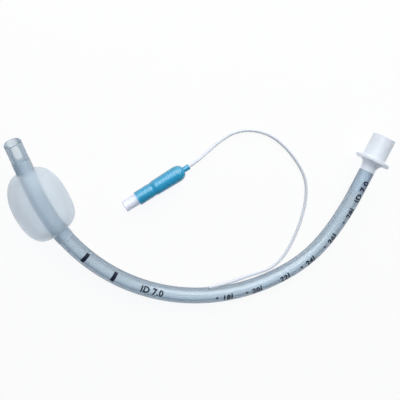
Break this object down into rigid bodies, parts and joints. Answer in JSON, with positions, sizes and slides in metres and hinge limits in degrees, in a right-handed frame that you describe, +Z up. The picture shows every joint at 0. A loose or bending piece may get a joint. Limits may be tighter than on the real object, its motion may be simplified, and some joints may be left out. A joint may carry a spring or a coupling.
{
  "type": "endotracheal tube",
  "caption": "Curved cuffed breathing tube lying at rest, with bevelled tip, side eye, cone connector, thin inflation line, pilot balloon and sprung check valve.",
  "frame": {"origin": "centre of the bounding box of tube, cuff and connector, on the floor plane that they lie on", "axes": "+X along the length of the curve towards the connector, +Y towards the open side of the curve, +Z up"},
  "size_m": [0.2437, 0.1109, 0.0334],
  "materials": {
    "tube": "clear soft PVC, pale blue",
    "cuff": "thin clear film",
    "connector": "translucent white moulded plastic",
    "inflation_line": "clear soft tubing",
    "pilot_balloon": "clear blue soft PVC",
    "valve_body": "white moulded plastic",
    "valve_retainer": "white moulded plastic",
    "valve_spring": "stainless spring wire",
    "valve_stem": "moulded plastic",
    "valve_seal": "soft rubber"
  },
  "bodies": {
    "airway": {"tube": "tube", "cuff": "cuff", "connector": "connector", "inflation_line": "inflation_line", "pilot_balloon": "pilot_balloon", "valve_body": "valve_body", "valve_retainer": "valve_retainer", "valve_spring": "valve_spring"},
    "valve_stem": {"valve_stem": "valve_stem", "valve_seal": "valve_seal"}
  },
  "joints": [
    {"name": "valve_press", "type": "slide", "parent": "airway", "child": "valve_stem", "axis": [0.8443, 0.5358, 0], "range_m": [0, 0.0015], "stiffness_N_per_m": 600, "deforming": ["valve_spring"]}
  ]
}
